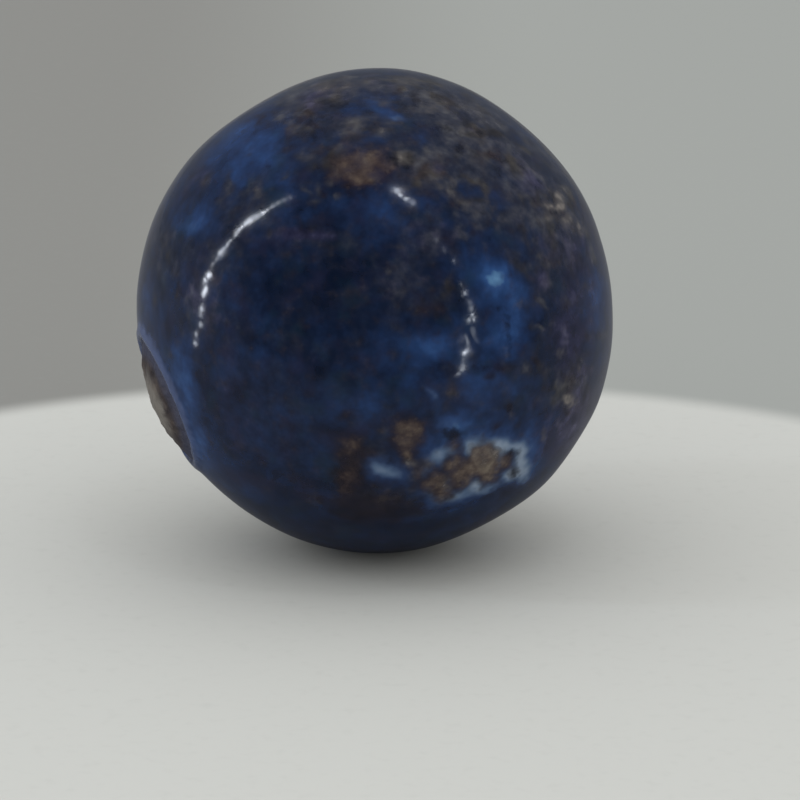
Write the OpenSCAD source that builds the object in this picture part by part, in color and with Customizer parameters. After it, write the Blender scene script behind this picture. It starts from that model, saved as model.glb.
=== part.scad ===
// A hand-rolled clay marble with one bare kiln mark, where it touched its neighbour in the firing.
// The ball was rolled a little longer than it is wide, and its long axis leans.

/* [Ball] */
// Width of the ball across its waist
ball_w = 19; // [12:0.5:44]
// How much longer than wide the rolling left the ball
ball_stretch = 0.45; // [0.05:0.05:0.8]
// Lean of the long axis away from upright, towards the mark
ball_lean = 18; // [-45:1:45]

/* [Kiln mark] */
// Turn of the mark about the upright axis, from the right-hand side
mark_turn = 194; // [0:1:359]
// Slope of the mark's axis below level
mark_drop = 20; // [0:1:60]
// Width of the patch that the glaze left bare
mark_w = 5.4; // [2.5:0.1:7]
// Thickness of the glaze, and so the depth of the bare ring
glaze_t = 0.15; // [0.05:0.05:0.4]

/* [Glaze lip] */
// Width of the bead where the glaze drew back from the mark
lip_w = 0.5; // [0.2:0.05:1]
// How far the bead stands above the glaze around it
lip_rise = 0.08; // [0:0.01:0.15]

/* [Scar] */
// Width of the bare ring between the glaze and the scar
ring_w = 0.35; // [0.1:0.05:0.8]
// How far the middle of the scar stands past the round of the glaze
scar_rise = 0.2; // [0:0.05:0.4]

/* [Hidden] */
$fn = 160;
lip_fn = 24;

waist_r = ball_w / 2;
half_stretch = ball_stretch / 2;

// The mark's own frame has its origin at the ball's centre and its axis out through the mark.
mark_r = mark_w / 2;
clay_r = waist_r - glaze_t;
cut_top = waist_r + ball_stretch + lip_w;
lip_tube_r = lip_w / 2;
lip_ring_r = mark_r + lip_tube_r;
lip_ring_z = sqrt(pow(waist_r + lip_rise - lip_tube_r, 2) - pow(lip_ring_r, 2));

// The scar is a ball that crosses the bare clay on a circle and stands up to its top.
scar_edge_r = mark_r - ring_w;
scar_edge_z = sqrt(pow(clay_r, 2) - pow(scar_edge_r, 2));
scar_top_z = waist_r + scar_rise;
scar_h = scar_top_z - scar_edge_z;
scar_r = (pow(scar_edge_r, 2) + pow(scar_h, 2)) / (2 * scar_h);

// Half of the rolled outline, on the right of the long axis: a round end above and below a short barrel.
module rolled_outline(r) {
    intersection() {
        translate([0, -2 * r]) square([2 * r, 4 * r]);
        union() {
            translate([0, -half_stretch]) square([r, ball_stretch]);
            for (end = [-1, 1])
                translate([0, end * half_stretch]) circle(r = r);
        }
    }
}

// The ball without its mark. An inset gives the clay under that much glaze.
module rolled_ball(inset = 0) {
    rotate([0, -ball_lean, 0]) rotate_extrude() rolled_outline(waist_r - inset);
}

// Turns what is drawn about +Z so that it faces out through the mark.
module at_mark() {
    rotate([0, 90 + mark_drop, mark_turn]) children();
}

// The glaze that is missing: a round plug down to the clay.
module missing_glaze() {
    difference() {
        at_mark() cylinder(r = mark_r, h = cut_top);
        rolled_ball(glaze_t);
    }
}

// The bead of glaze round the bare patch.
module glaze_lip() {
    rotate_extrude() translate([lip_ring_r, lip_ring_z]) circle(r = lip_tube_r, $fn = lip_fn);
}

// The low dome of clay left standing where the neighbour was snapped off.
module scar() {
    translate([0, 0, scar_top_z - scar_r]) sphere(r = scar_r);
}

module marble() {
    color([0.13, 0.19, 0.38]) union() {
        difference() {
            rolled_ball();
            missing_glaze();
        }
        at_mark() glaze_lip();
        at_mark() scar();
    }
}

marble();
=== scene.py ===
# A hand-rolled clay marble with a mottled cobalt glaze and one bare kiln mark.
# It lies on a round pale table top between two curved strips of small lamps.
import math
import random

import bmesh
import bpy
import numpy as np
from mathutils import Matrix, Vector, noise


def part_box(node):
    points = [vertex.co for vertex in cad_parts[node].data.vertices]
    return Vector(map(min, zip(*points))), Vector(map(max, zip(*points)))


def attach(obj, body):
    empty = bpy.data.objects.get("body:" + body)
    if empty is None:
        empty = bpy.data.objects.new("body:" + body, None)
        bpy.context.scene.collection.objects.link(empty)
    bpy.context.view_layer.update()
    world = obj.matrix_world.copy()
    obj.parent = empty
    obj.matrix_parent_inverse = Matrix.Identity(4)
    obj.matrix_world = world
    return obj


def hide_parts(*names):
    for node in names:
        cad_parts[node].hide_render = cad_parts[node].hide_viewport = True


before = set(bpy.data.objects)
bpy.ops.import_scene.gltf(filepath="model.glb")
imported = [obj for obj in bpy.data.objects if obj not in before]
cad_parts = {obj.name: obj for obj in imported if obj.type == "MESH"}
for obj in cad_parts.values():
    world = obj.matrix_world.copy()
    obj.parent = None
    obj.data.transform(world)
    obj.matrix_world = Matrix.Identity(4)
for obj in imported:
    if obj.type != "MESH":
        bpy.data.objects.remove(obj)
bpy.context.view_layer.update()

mm = 0.001
print("frame loaded")

# ---- the front view, in which most places on the ball are given ----
# A place is (mm right of the ball's middle, mm above it), as the camera sees it.

view = {
    "rise": 15,                    # degrees that the camera looks down from
    "distance": 250,               # mm from the ball's middle
    "frameWidth": 32.19,           # mm across the picture, at the ball
    "aim": (1.01, -3.56),          # place that the camera points at
    "sensor": 36,                  # mm
    "clip": (0.01, 10),            # m
}
viewRise = math.radians(view["rise"])
viewRight = np.array([1, 0, 0])
viewUp = np.array([0, math.sin(viewRise), math.cos(viewRise)])
viewBack = np.array([0, -math.cos(viewRise), math.sin(viewRise)])
eye = viewBack * view["distance"]


def seenPlaces(points):  # places of points given in mm
    scale = view["distance"] / (view["distance"] - points @ viewBack)
    return (points @ viewRight) * scale, (points @ viewUp) * scale


def spotOnBall(across, up, radius):  # the point of a ball that is seen at a place
    ray = across * viewRight + up * viewUp - eye
    ray = ray / np.linalg.norm(ray)
    middle = -(eye @ ray)
    depth = middle - math.sqrt(max(radius ** 2 - (eye @ eye - middle ** 2), 0))
    return eye + depth * ray


def limbDirection(degrees):  # towards the outline, counted from the right-hand side upwards
    angle = math.radians(degrees)
    return math.cos(angle) * viewRight + math.sin(angle) * viewUp


def addObject(name, data):
    thing = bpy.data.objects.new(name, data)
    bpy.context.scene.collection.objects.link(thing)
    return thing


# ---- the ball's shape ----
# Each row of noise is the size of its features in mm, a shift, and a number of octaves.

cadLow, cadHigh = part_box("marble")
ball = {
    "lean": math.radians(18),      # of the long axis, towards the kiln mark
    "subdivisions": 6,
    "fineAngle": 66,               # degrees from the camera's side that get the finest faces
    "handLumps": [                 # outline angle, half width in degrees, height in mm
        (82, 20, 0.09), (120, 15, -0.15), (50, 14, -0.04), (24, 13, 0.05), (232, 14, -0.10),
        (213, 5, 0.09), (298, 13, -0.08), (314, 8, 0.06), (338, 8, 0.08), (351, 8, 0.05),
    ],
    "waviness": 0.035,             # mm, of the whole surface
    "waves": (4.5, 8.4, 2),
}
ball["waist"] = (cadHigh[1] - cadLow[1]) / 2 / mm
ball["halfStretch"] = ((cadHigh[2] - cadLow[2]) / 2 / mm - ball["waist"]) / math.cos(ball["lean"])

mark = {
    "turn": math.radians(194),     # about the upright axis, from the right-hand side
    "drop": math.radians(20),      # of its axis below level
    "radius": 2.7,                 # mm, of the patch that the glaze left bare
    "glaze": 0.10,                 # step down from the glaze
    "glazeEnd": (0.06, -0.10),     # mm past the edge, where the step starts and ends
    "lipWidth": 0.5,
    "lipRise": 0.08,
    "lipCrest": 0.45,              # of the lip's width, from the edge to its crest
    "lipRound": 0.5,               # of the lip's width, over which the crest falls away
    "ringWidth": 0.18,             # bare ring between the glaze and the scar
    "scarRise": 0.2,               # of the scar's middle past the ball
    "scarEnd": (0.05, -0.3),       # mm past its edge, where its roughness starts and is full
    "ragged": 0.10,                # mm that the edge wanders
    "wander": (1.6, 3.1, 3),
    "broken": 0.06,                # mm of roughness on the scar
    "coarse": (0.9, 5.5, 5),
    "fine": (0.25, 1.9, 3),
    "paintedSheen": 1.2,                   # mm, radius of the painted sheen in the scar's middle, a pale painted reflection of the room
}
markAxis = np.array([
    math.cos(mark["drop"]) * math.cos(mark["turn"]),
    math.cos(mark["drop"]) * math.sin(mark["turn"]),
    -math.sin(mark["drop"]),
])


def smoothStep(low, high, value):
    part = np.clip((value - low) / (high - low), 0, 1)
    return part * part * (3 - 2 * part)


def noiseAt(points, size, shift, octaves=1):  # about -1 to 1, with features of this size in mm
    offset = Vector((shift, shift * 0.7, -shift * 1.3))
    if octaves == 1:
        values = [noise.noise(Vector(p) / size + offset) for p in points]
    else:
        values = [noise.fractal(Vector(p) / size + offset, 0.8, 2.1, octaves) for p in points]
    return np.array(values)


def rolledRadius(directions):  # a ball rolled a little long: round ends on a short barrel
    axis = np.array([-math.sin(ball["lean"]), 0, math.cos(ball["lean"])])
    along = np.abs(directions @ axis)
    aside = np.sqrt(np.maximum(1 - along ** 2, 1e-9))
    half, waist = ball["halfStretch"], ball["waist"]
    barrel = waist / aside
    end = half * along + np.sqrt(waist ** 2 - (half * aside) ** 2)
    return np.where(barrel * along < half, barrel, end)


def markDistance(directions):  # mm out from the mark's axis, with the wandering of its edge taken off
    cosine = np.clip(directions @ markAxis, -1, 1)
    out = ball["waist"] * np.sqrt(1 - cosine ** 2)
    out = np.where(cosine > 0, out, 2 * ball["waist"])
    near = out < mark["radius"] * 2
    wander = np.zeros(len(directions))
    wander[near] = noiseAt(directions[near] * ball["waist"], *mark["wander"])
    return out + wander * mark["ragged"], near


def shapeBall(directions):  # the surface in every direction, and how far out from the mark it is
    radius = rolledRadius(directions)
    for angle, width, height in ball["handLumps"]:
        apart = np.degrees(np.arccos(np.clip(directions @ limbDirection(angle), -1, 1)))
        radius += height * np.exp(-(apart / width) ** 2)
    surface = directions * ball["waist"]
    radius += ball["waviness"] * noiseAt(surface, *ball["waves"])

    out, near = markDistance(directions)
    edge, lip = mark["radius"], mark["lipWidth"]
    bare = smoothStep(edge + mark["glazeEnd"][0], edge + mark["glazeEnd"][1], out)
    crest = edge + lip * mark["lipCrest"]
    bead = np.exp(-((out - crest) / (lip * mark["lipRound"])) ** 2)
    bead *= smoothStep(edge - 0.05, edge + 0.1, out)
    scarEdge = edge - mark["ringWidth"]
    drop = (mark["scarRise"] + mark["glaze"]) / scarEdge ** 2
    rough = np.zeros(len(directions))
    rough[near] = noiseAt(surface[near], *mark["coarse"]) + 0.5 * noiseAt(surface[near], *mark["fine"])
    scar = np.maximum(mark["scarRise"] - drop * out ** 2, -mark["glaze"])
    scarMask = smoothStep(scarEdge + mark["scarEnd"][0], scarEdge + mark["scarEnd"][1], out)
    radius += bare * (scar + mark["broken"] * rough * (0.25 + 0.75 * scarMask))
    radius += bead * mark["lipRise"] * (1 - bare)
    return radius, out


def makeBall():
    bm = bmesh.new()
    bmesh.ops.create_icosphere(bm, subdivisions=ball["subdivisions"], radius=1)

    def refine(chosen):
        faces = [f for f in bm.faces if chosen(f.calc_center_median().normalized())]
        edges = {e for f in faces for e in f.edges}
        bmesh.ops.subdivide_edges(bm, edges=list(edges), cuts=1, use_grid_fill=True)
        bmesh.ops.triangulate(bm, faces=[f for f in bm.faces if len(f.verts) > 3])

    toEye, toMark = Vector(viewBack), Vector(markAxis)
    fine = math.cos(math.radians(ball["fineAngle"]))
    markAngle = math.degrees(math.asin(mark["radius"] / ball["waist"]))
    wide = math.cos(math.radians(markAngle + 5))
    inner, outer = (math.cos(math.radians(markAngle + a)) for a in (-4, 3.5))
    refine(lambda d: True)
    refine(lambda d: d.dot(toEye) > fine or d.dot(toMark) > wide)
    refine(lambda d: outer < d.dot(toMark) < inner)

    directions = np.array([v.co.normalized() for v in bm.verts])
    radius, out = shapeBall(directions)
    points = directions * radius[:, None]
    for vertex, point in zip(bm.verts, points):
        vertex.co = point * mm
    bmesh.ops.recalc_face_normals(bm, faces=bm.faces)
    for face in bm.faces:
        face.smooth = True
    mesh = bpy.data.meshes.new("glazedMarble")
    bm.to_mesh(mesh)
    bm.free()
    piece = addObject("glazedMarble", mesh)
    print("ball:", len(mesh.vertices), "vertices,", len(mesh.polygons), "faces")
    return piece, points, directions, out


# ---- the marks of the glaze ----
# Each spot is a place, half its width and height in mm, its lean in degrees, and its strength.

washes = {
    # lighter and brighter blue, or darker where the strength is under 0
    "tone": [
        # shoulder on the left
        (-4.9, 6.6, 1.5, 1.4, 40, 0.3), (-4.4, 6.4, 0.5, 0.6, 0, 0.12), (-5.9, 5.6, 0.8, 0.7, 30, 0.18),
        (-5.5, 7.3, 0.8, 0.4, 40, 0.12), (-3.6, 5.3, 1.1, 0.7, -10, 0.02), (-7.2, 3.55, 0.5, 0.52, 0, 0.66),
        (-6.7, 4.3, 0.6, 0.4, 30, 0.2), (-9.15, 0.45, 0.25, 0.6, 0, 0.25), (-8.0, 0.9, 0.7, 1.1, 0, 0.14),
        (-6.5, 6.2, 0.8, 0.4, 50, 0.15),
        # crown
        (0.2, 8.3, 1.3, 0.55, -5, 0.15), (1.9, 6.9, 0.5, 0.45, 0, 0.3), (0.9, 7.9, 0.7, 0.25, -15, 0.24),
        # middle
        (0.1, 4.0, 1.0, 0.7, -10, 0.25), (0.5, 3.0, 0.7, 0.6, 0, 0.12), (-1.4, 4.3, 0.7, 0.35, 0, 0.12),
        (-0.2, -1.0, 1.6, 0.8, -5, 0.12), (-4.4, -1.6, 1.4, 1.1, 10, 0.1), (-2.6, -0.4, 1.2, 0.4, -25, 0.08),
        # bright patch on the right
        (4.75, 1.3, 1.1, 0.9, 0, 0.4), (4.65, 1.38, 0.6, 0.5, -15, 0.3), (5.2, 0.2, 0.9, 1.5, 0, 0.3),
        (5.75, -0.1, 0.5, 1.3, 5, 0.22), (4.4, -1.3, 1.3, 0.8, 0, 0.24), (5.5, -1.4, 0.5, 0.6, 0, 0.2),
        (3.8, 2.1, 0.9, 0.6, 0, 0.15), (2.4, -1.5, 0.9, 0.6, 0, 0.55), (1.4, -1.3, 0.9, 0.5, 0, 0.15),
        (4.3, -3.0, 1.4, 0.7, 0, 0.32),
        # below the middle, and along the edges
        (-0.1, -3.6, 1.2, 0.6, 0, 0.25), (1.7, -3.0, 0.8, 0.6, 0, 0.15), (6.6, -4.4, 1.0, 0.8, 30, 0.12),
        (-2.0, -5.2, 0.5, 1.0, 0, 0.08), (-4.7, -7.2, 1.0, 0.35, -30, 0.1), (-2.2, -7.4, 0.7, 0.4, 0, 0.1),
        (7.9, -4.6, 0.6, 1.2, -35, 0.3), (8.9, 0.4, 0.5, 1.6, 0, 0.42), (-6.9, -5.0, 0.5, 0.9, 25, 0.15),
        (5.2, -4.2, 1.2, 0.4, 0, 0.1),
        # blue light round the bare patches
        (3.3, -4.6, 0.7, 0.5, 0, 0.45), (4.6, -5.3, 1.6, 0.8, -5, 0.52), (6.2, -6.0, 0.5, 0.9, -10, 0.55),
        (3.6, -7.3, 1.6, 0.5, 15, 0.4), (2.2, -5.6, 0.5, 0.6, 40, 0.35), (0.4, -6.4, 1.0, 0.5, -10, 0.25),
        # beside the kiln mark
        (-7.55, -3.1, 0.42, 1.0, 12, 0.52), (-7.85, -2.2, 0.4, 0.9, 15, 0.16),
        (-7.05, -5.5, 0.38, 0.9, 20, 0.27),
        # above it, and on the far right
        # the first spot of the next row, beside the left highlight, is partly its painted glow
        (-6.5, 0.5, 0.8, 0.9, 0, 0.22), (7.4, -0.4, 0.6, 0.6, 0, -0.08),
        # close to its lip
        (-7.6, -1.5, 0.45, 0.5, 10, 0.1), (-6.85, -3.0, 0.3, 1.3, 8, -0.22),
        # dark places, with two light ones towards the right shoulder
        (-1.4, 1.0, 3.2, 2.6, 0, -0.2), (-1.1, 1.75, 0.7, 0.45, 0, -0.34), (4.0, 3.7, 0.8, 0.6, 0, 0.14),
        (5.4, 4.7, 0.7, 0.5, 0, 0.12), (-2.0, 0.5, 0.6, 0.4, 0, -0.12), (-1.3, -1.25, 0.5, 0.4, 0, -0.15),
        (-2.3, -2.4, 0.4, 0.4, 0, -0.25), (-1.8, 3.4, 0.8, 0.4, 0, -0.1), (2.9, 0.75, 0.4, 0.3, 0, -0.2),
        (0.7, -3.0, 0.3, 0.4, 0, -0.2), (0.0, -5.6, 0.5, 0.3, 0, -0.2), (-0.6, -7.0, 0.4, 0.4, 0, -0.2),
        (5.3, -2.3, 0.6, 0.3, 0, -0.2), (6.8, -0.7, 0.5, 1.2, 0, -0.15), (3.4, 0.3, 0.25, 0.3, 0, -0.25),
        (-1.3, -4.9, 0.9, 0.2, -15, -0.25), (5.3, -7.2, 0.6, 0.2, 15, -0.25), (7.5, -1.9, 0.6, 0.9, 0, -0.15),
        (-4.4, 4.6, 0.5, 0.5, 30, -0.15), (-8.0, 2.0, 0.5, 0.5, 0, -0.1),
    ],
    # grey and olive clouds; a few also lighten the painted reflection along the outline and above the middle,
    # and the painted glow beside the left highlight
    "grey": [
        # lumps of the crown
        (-1.7, 8.9, 0.7, 0.35, 10, 0.45), (-0.9, 8.7, 0.35, 0.25, 0, 0.35), (-2.9, 8.1, 0.45, 0.3, 20, 0.4),
        (-3.4, 7.4, 0.45, 0.35, 0, 0.06), (-1.1, 7.4, 0.55, 0.3, 0, 0.45), (2.2, 8.2, 0.6, 0.35, -15, 0.55),
        (3.1, 7.9, 0.4, 0.3, -20, 0.4), (4.1, 8.2, 0.5, 0.3, -30, 0.45), (4.9, 7.5, 0.4, 0.3, -30, 0.4),
        (3.6, 7.2, 0.35, 0.25, 0, 0.35), (2.1, 9.0, 0.8, 0.25, -10, 0.45), (5.4, 6.6, 0.5, 0.35, -40, 0.35),
        (2.5, 5.7, 0.5, 0.35, 0, 0.3), (3.6, 5.9, 0.4, 0.4, 0, 0.3), (4.9, 6.0, 0.5, 0.3, -10, 0.3),
        # wide clouds
        (-0.5, 1.5, 4.2, 2.6, 0, 0.05), (1.8, 1.4, 1.3, 2.0, 0, 0.34), (0.4, 0.4, 0.9, 0.8, 0, 0.2),
        (0.8, 8.3, 4.5, 1.5, -5, 0.16), (3.5, 6.4, 2.6, 1.6, -20, 0.18), (6.8, 4.4, 1.4, 2.4, 30, 0.18),
        (-1.9, 8.8, 1.7, 0.5, 10, 0.55), (-3.1, 8.8, 0.9, 0.5, 25, 0.5), (-3.2, 7.4, 0.9, 0.8, 0, 0.2),
        (-1.2, 7.4, 1.1, 0.5, 0, 0.5), (0.2, 9.3, 3.4, 0.35, 0, 0.35), (1.8, 9.0, 1.0, 0.4, -10, 0.4),
        (2.4, 8.3, 1.1, 0.7, -15, 0.5), (3.8, 7.9, 1.1, 0.8, -20, 0.45), (4.2, 6.4, 1.4, 0.8, 0, 0.6),
        (2.6, 5.8, 1.2, 0.8, 0, 0.62), (1.2, 6.2, 0.8, 0.6, 0, 0.4), (-2.0, 6.3, 0.9, 0.7, 0, 0.3),
        (1.2, 5.4, 0.8, 0.5, 0, 0.35), (6.2, 5.9, 1.0, 1.6, 35, 0.42), (7.4, 3.8, 1.0, 1.3, 15, 0.62),
        (5.8, 3.7, 1.2, 1.0, 0, 0.28), (4.0, 3.6, 1.2, 0.9, 0, 0.06), (8.0, 1.9, 0.8, 1.1, 0, 0.3),
        # the last spot of the next row, at (-2.8, 3.1), lightens a painted reflection: a streak of the room
        # mirrored above the middle
        (6.9, 1.8, 0.6, 0.9, 0, 0.32), (7.4, -0.2, 0.6, 0.7, 0, -0.1), (-2.8, 3.1, 1.1, 0.25, 0, 0.4),
        (7.9, -2.9, 0.8, 0.9, 0, 0.8), (6.9, -3.6, 0.9, 0.5, 0, 0.28), (5.4, -2.3, 0.7, 0.4, 0, 0.25),
        (-8.4, 2.7, 0.8, 1.5, 10, 0.45), (-7.0, 5.6, 0.6, 0.5, 35, 0.35), (-6.3, 2.4, 0.9, 1.0, 5, 0.38),
        # the first spot of the next row, beside the left highlight, is partly its painted glow
        (-7.0, 0.6, 0.9, 1.1, 0, 0.5), (-6.0, -0.6, 0.8, 0.8, 0, 0.22), (-4.8, 4.9, 0.6, 0.6, 30, 0.4),
        (-5.4, 3.9, 0.7, 0.6, 0, 0.25), (-3.0, 2.4, 1.2, 0.9, 0, 0.12), (-5.8, -3.9, 1.6, 1.2, 0, 0.05),
        (-1.0, 2.6, 0.7, 0.5, 0, 0.28), (2.3, 3.3, 1.0, 0.9, 0, 0.4), (0.4, -5.0, 0.5, 0.6, 0, 0.28),
        (3.3, -3.2, 0.9, 0.5, 0, 0.25), (1.7, -6.4, 0.6, 0.6, 30, 0.45), (0.2, -7.5, 1.6, 0.5, 0, 0.35),
        # the last spot of the next row, along the lower right outline, lightens the painted lavender
        # reflection there
        (-3.6, -3.4, 0.9, 0.5, 0, 0.12), (8.5, -0.5, 0.4, 1.2, 0, 0.1), (8.0, -4.6, 0.7, 1.4, -30, 0.95),
        (5.4, 5.0, 1.0, 0.6, 0, 0.14), (-6.0, -3.2, 1.2, 1.0, 0, -0.16),
    ],
    # violet clouds; some are painted reflection along the outline and above the middle, and some are partly
    # the painted glow round the left highlight
    "mauve": [
        # these three, along the right-hand outline, are painted reflection: a lavender veil of the room in
        # the glaze
        (8.3, 1.2, 0.8, 2.2, 0, 0.55), (8.0, -1.2, 0.9, 1.4, 0, 0.7), (8.0, -4.4, 0.8, 1.7, -30, 1.0),
        # the last spot of the next row, at (-2.8, 3.1), is a painted reflection: a violet streak of the room
        # mirrored above the middle
        (6.9, -5.4, 0.6, 0.6, 0, 0.3), (5.1, -2.3, 0.6, 0.35, 0, 0.5), (-2.8, 3.1, 1.1, 0.28, -3, 1.2),
        (-7.2, 5.5, 0.6, 0.5, 40, 0.5), (-2.2, 8.7, 1.0, 0.4, 15, 0.5), (6.2, 5.2, 0.8, 0.8, 30, 0.4),
        (-4.4, -5.2, 2.2, 1.4, 0, 0.3), (-0.45, -2.0, 0.5, 0.4, 0, 0.4), (1.2, -4.9, 0.9, 0.9, 0, 0.45),
        # the last spot of the next row, at the left outline by the highlight, is partly its painted glow
        (3.2, -3.5, 0.7, 0.4, 0, 0.3), (0.2, 1.6, 1.6, 1.2, 0, 0.28), (-7.2, 1.0, 0.9, 1.6, 0, 0.35),
        (-5.6, -1.8, 0.9, 1.2, 0, 0.18), (7.3, 2.6, 0.9, 1.0, 0, 0.35), (2.4, 2.4, 0.9, 0.8, 0, 0.28),
        # the first spot of the next row, beside the left highlight, is partly its painted glow
        (-6.6, 0.5, 0.8, 1.0, 0, 0.4), (2.1, 3.1, 0.9, 0.7, 0, 0.3), (7.3, -0.4, 0.6, 0.7, 0, 0.1),
        (-6.0, -3.2, 1.2, 1.0, 0, 0.28),
    ],
    # dark brown clouds
    "brown": [
        (-0.8, 0.7, 0.6, 0.5, 0, 0.25), (1.8, 0.6, 0.6, 0.8, 0, 0.2), (-3.6, -4.5, 0.9, 0.5, -10, 0.3),
        (-2.4, -3.7, 0.6, 0.4, 0, 0.15), (-1.0, -6.5, 0.85, 1.5, 0, 0.85), (0.2, -7.9, 2.2, 0.6, 0, 0.95),
        (5.2, -2.2, 0.5, 0.3, 0, 0.35), (4.6, 6.4, 0.7, 0.5, 0, 0.25), (-7.8, 5.1, 0.2, 0.5, 40, 0.3),
        (-1.2, -4.2, 0.35, 0.3, 0, 0.3), (6.8, 1.9, 0.3, 0.5, 0, 0.25), (-2.4, 6.4, 0.5, 0.5, 0, 0.3),
        (-2.2, 8.0, 0.7, 0.3, 0, 0.3), (4.2, 7.3, 0.6, 0.3, -20, 0.35), (3.4, -5.2, 0.3, 0.5, 0, 0.4),
        (5.5, -5.9, 0.4, 0.3, 0, 0.5), (1.0, -4.6, 0.7, 0.7, 0, 0.25), (7.9, -3.9, 0.4, 0.3, 0, 0.25),
        (-3.0, 7.3, 0.6, 0.5, 0, 0.3),
    ],
    # soft rusty clouds
    "sienna": [
        (-0.45, 6.0, 1.35, 0.85, 10, 0.66), (-0.3, 6.3, 0.6, 0.45, 0, 0.18), (-1.5, 5.9, 0.7, 0.6, 0, 0.28),
        (-0.5, 5.3, 0.8, 0.4, 0, 0.38), (0.6, 5.9, 0.6, 0.3, 0, 0.32), (1.6, 5.6, 0.9, 0.4, 0, 0.3),
        (-3.3, 7.3, 0.4, 0.4, 0, 0.3), (-1.6, 8.95, 0.7, 0.3, 10, 0.35), (4.6, 6.3, 0.7, 0.4, 0, 0.42),
        (2.7, 6.0, 0.6, 0.4, 0, 0.34), (-0.3, -2.0, 0.35, 0.3, 0, 0.3), (2.3, 0.1, 0.6, 0.3, 0, 0.34),
        (-0.6, 0.8, 0.4, 0.4, 0, 0.2), (-1.15, -6.6, 0.55, 0.9, 0, 0.55), (1.3, -5.0, 0.8, 0.85, 0, 0.45),
        (3.9, -6.3, 1.2, 0.6, 0, 0.45), (-1.1, -4.15, 0.3, 0.25, 0, 0.35), (2.7, -7.1, 0.7, 0.55, 20, 0.7),
        (1.6, -6.3, 0.4, 0.6, 20, 0.35), (7.9, -2.7, 0.4, 0.5, 0, 0.3), (7.3, 4.0, 0.8, 0.7, 0, 0.38),
        (7.2, 1.9, 0.4, 0.3, 0, 0.2), (3.1, -3.1, 0.25, 0.25, 0, 0.4), (-4.9, 4.9, 0.35, 0.4, 30, 0.28),
        (-3.4, -4.4, 0.5, 0.3, -10, 0.22),
    ],
    # pale blue round the bare patches
    "halo": [
        (4.6, -5.9, 1.8, 1.15, -5, 0.36), (2.9, -6.6, 1.0, 0.9, 0, 0.2), (3.4, -7.2, 1.3, 0.4, 12, 0.2),
        (5.0, -5.4, 0.6, 0.3, -15, 0.62), (5.9, -5.9, 0.3, 0.6, -5, 0.8), (5.5, -5.3, 0.4, 0.25, -20, 0.36),
        (4.0, -5.5, 0.35, 0.35, 30, 0.7), (2.6, -5.75, 0.5, 0.28, 40, 0.55), (3.1, -5.6, 0.2, 0.2, 0, 0.28),
        (5.4, -6.6, 0.4, 0.2, 25, 0.77), (6.0, -6.6, 0.25, 0.35, 0, 0.49), (4.1, -7.0, 0.25, 0.25, 0, 0.63),
        (3.2, -7.5, 0.9, 0.25, 15, 0.49), (4.6, -7.2, 0.4, 0.2, 20, 0.42), (3.0, -4.5, 0.7, 0.35, 10, 0.28),
        (0.2, -6.3, 0.6, 0.42, -14, 0.68), (0.85, -6.55, 0.45, 0.28, -15, 0.34),
        (1.9, -6.6, 0.4, 0.3, 30, 0.31), (2.2, -7.3, 0.5, 0.25, 0, 0.35), (4.9, -5.7, 0.3, 0.3, 0, 0.3),
        (4.95, 1.05, 0.3, 0.2, -45, 0.28), (0.9, 7.8, 0.55, 0.2, -15, 0.4), (2.5, -3.45, 0.26, 0.26, 0, 0.36),
        (2.15, -3.1, 0.3, 0.2, -50, 0.34), (-7.2, 3.5, 0.4, 0.4, 0, 0.22), (2.3, -1.6, 0.5, 0.3, 0, 0.17),
        (0.3, 8.6, 0.9, 0.3, 0, 0.14),
    ],
}

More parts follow.
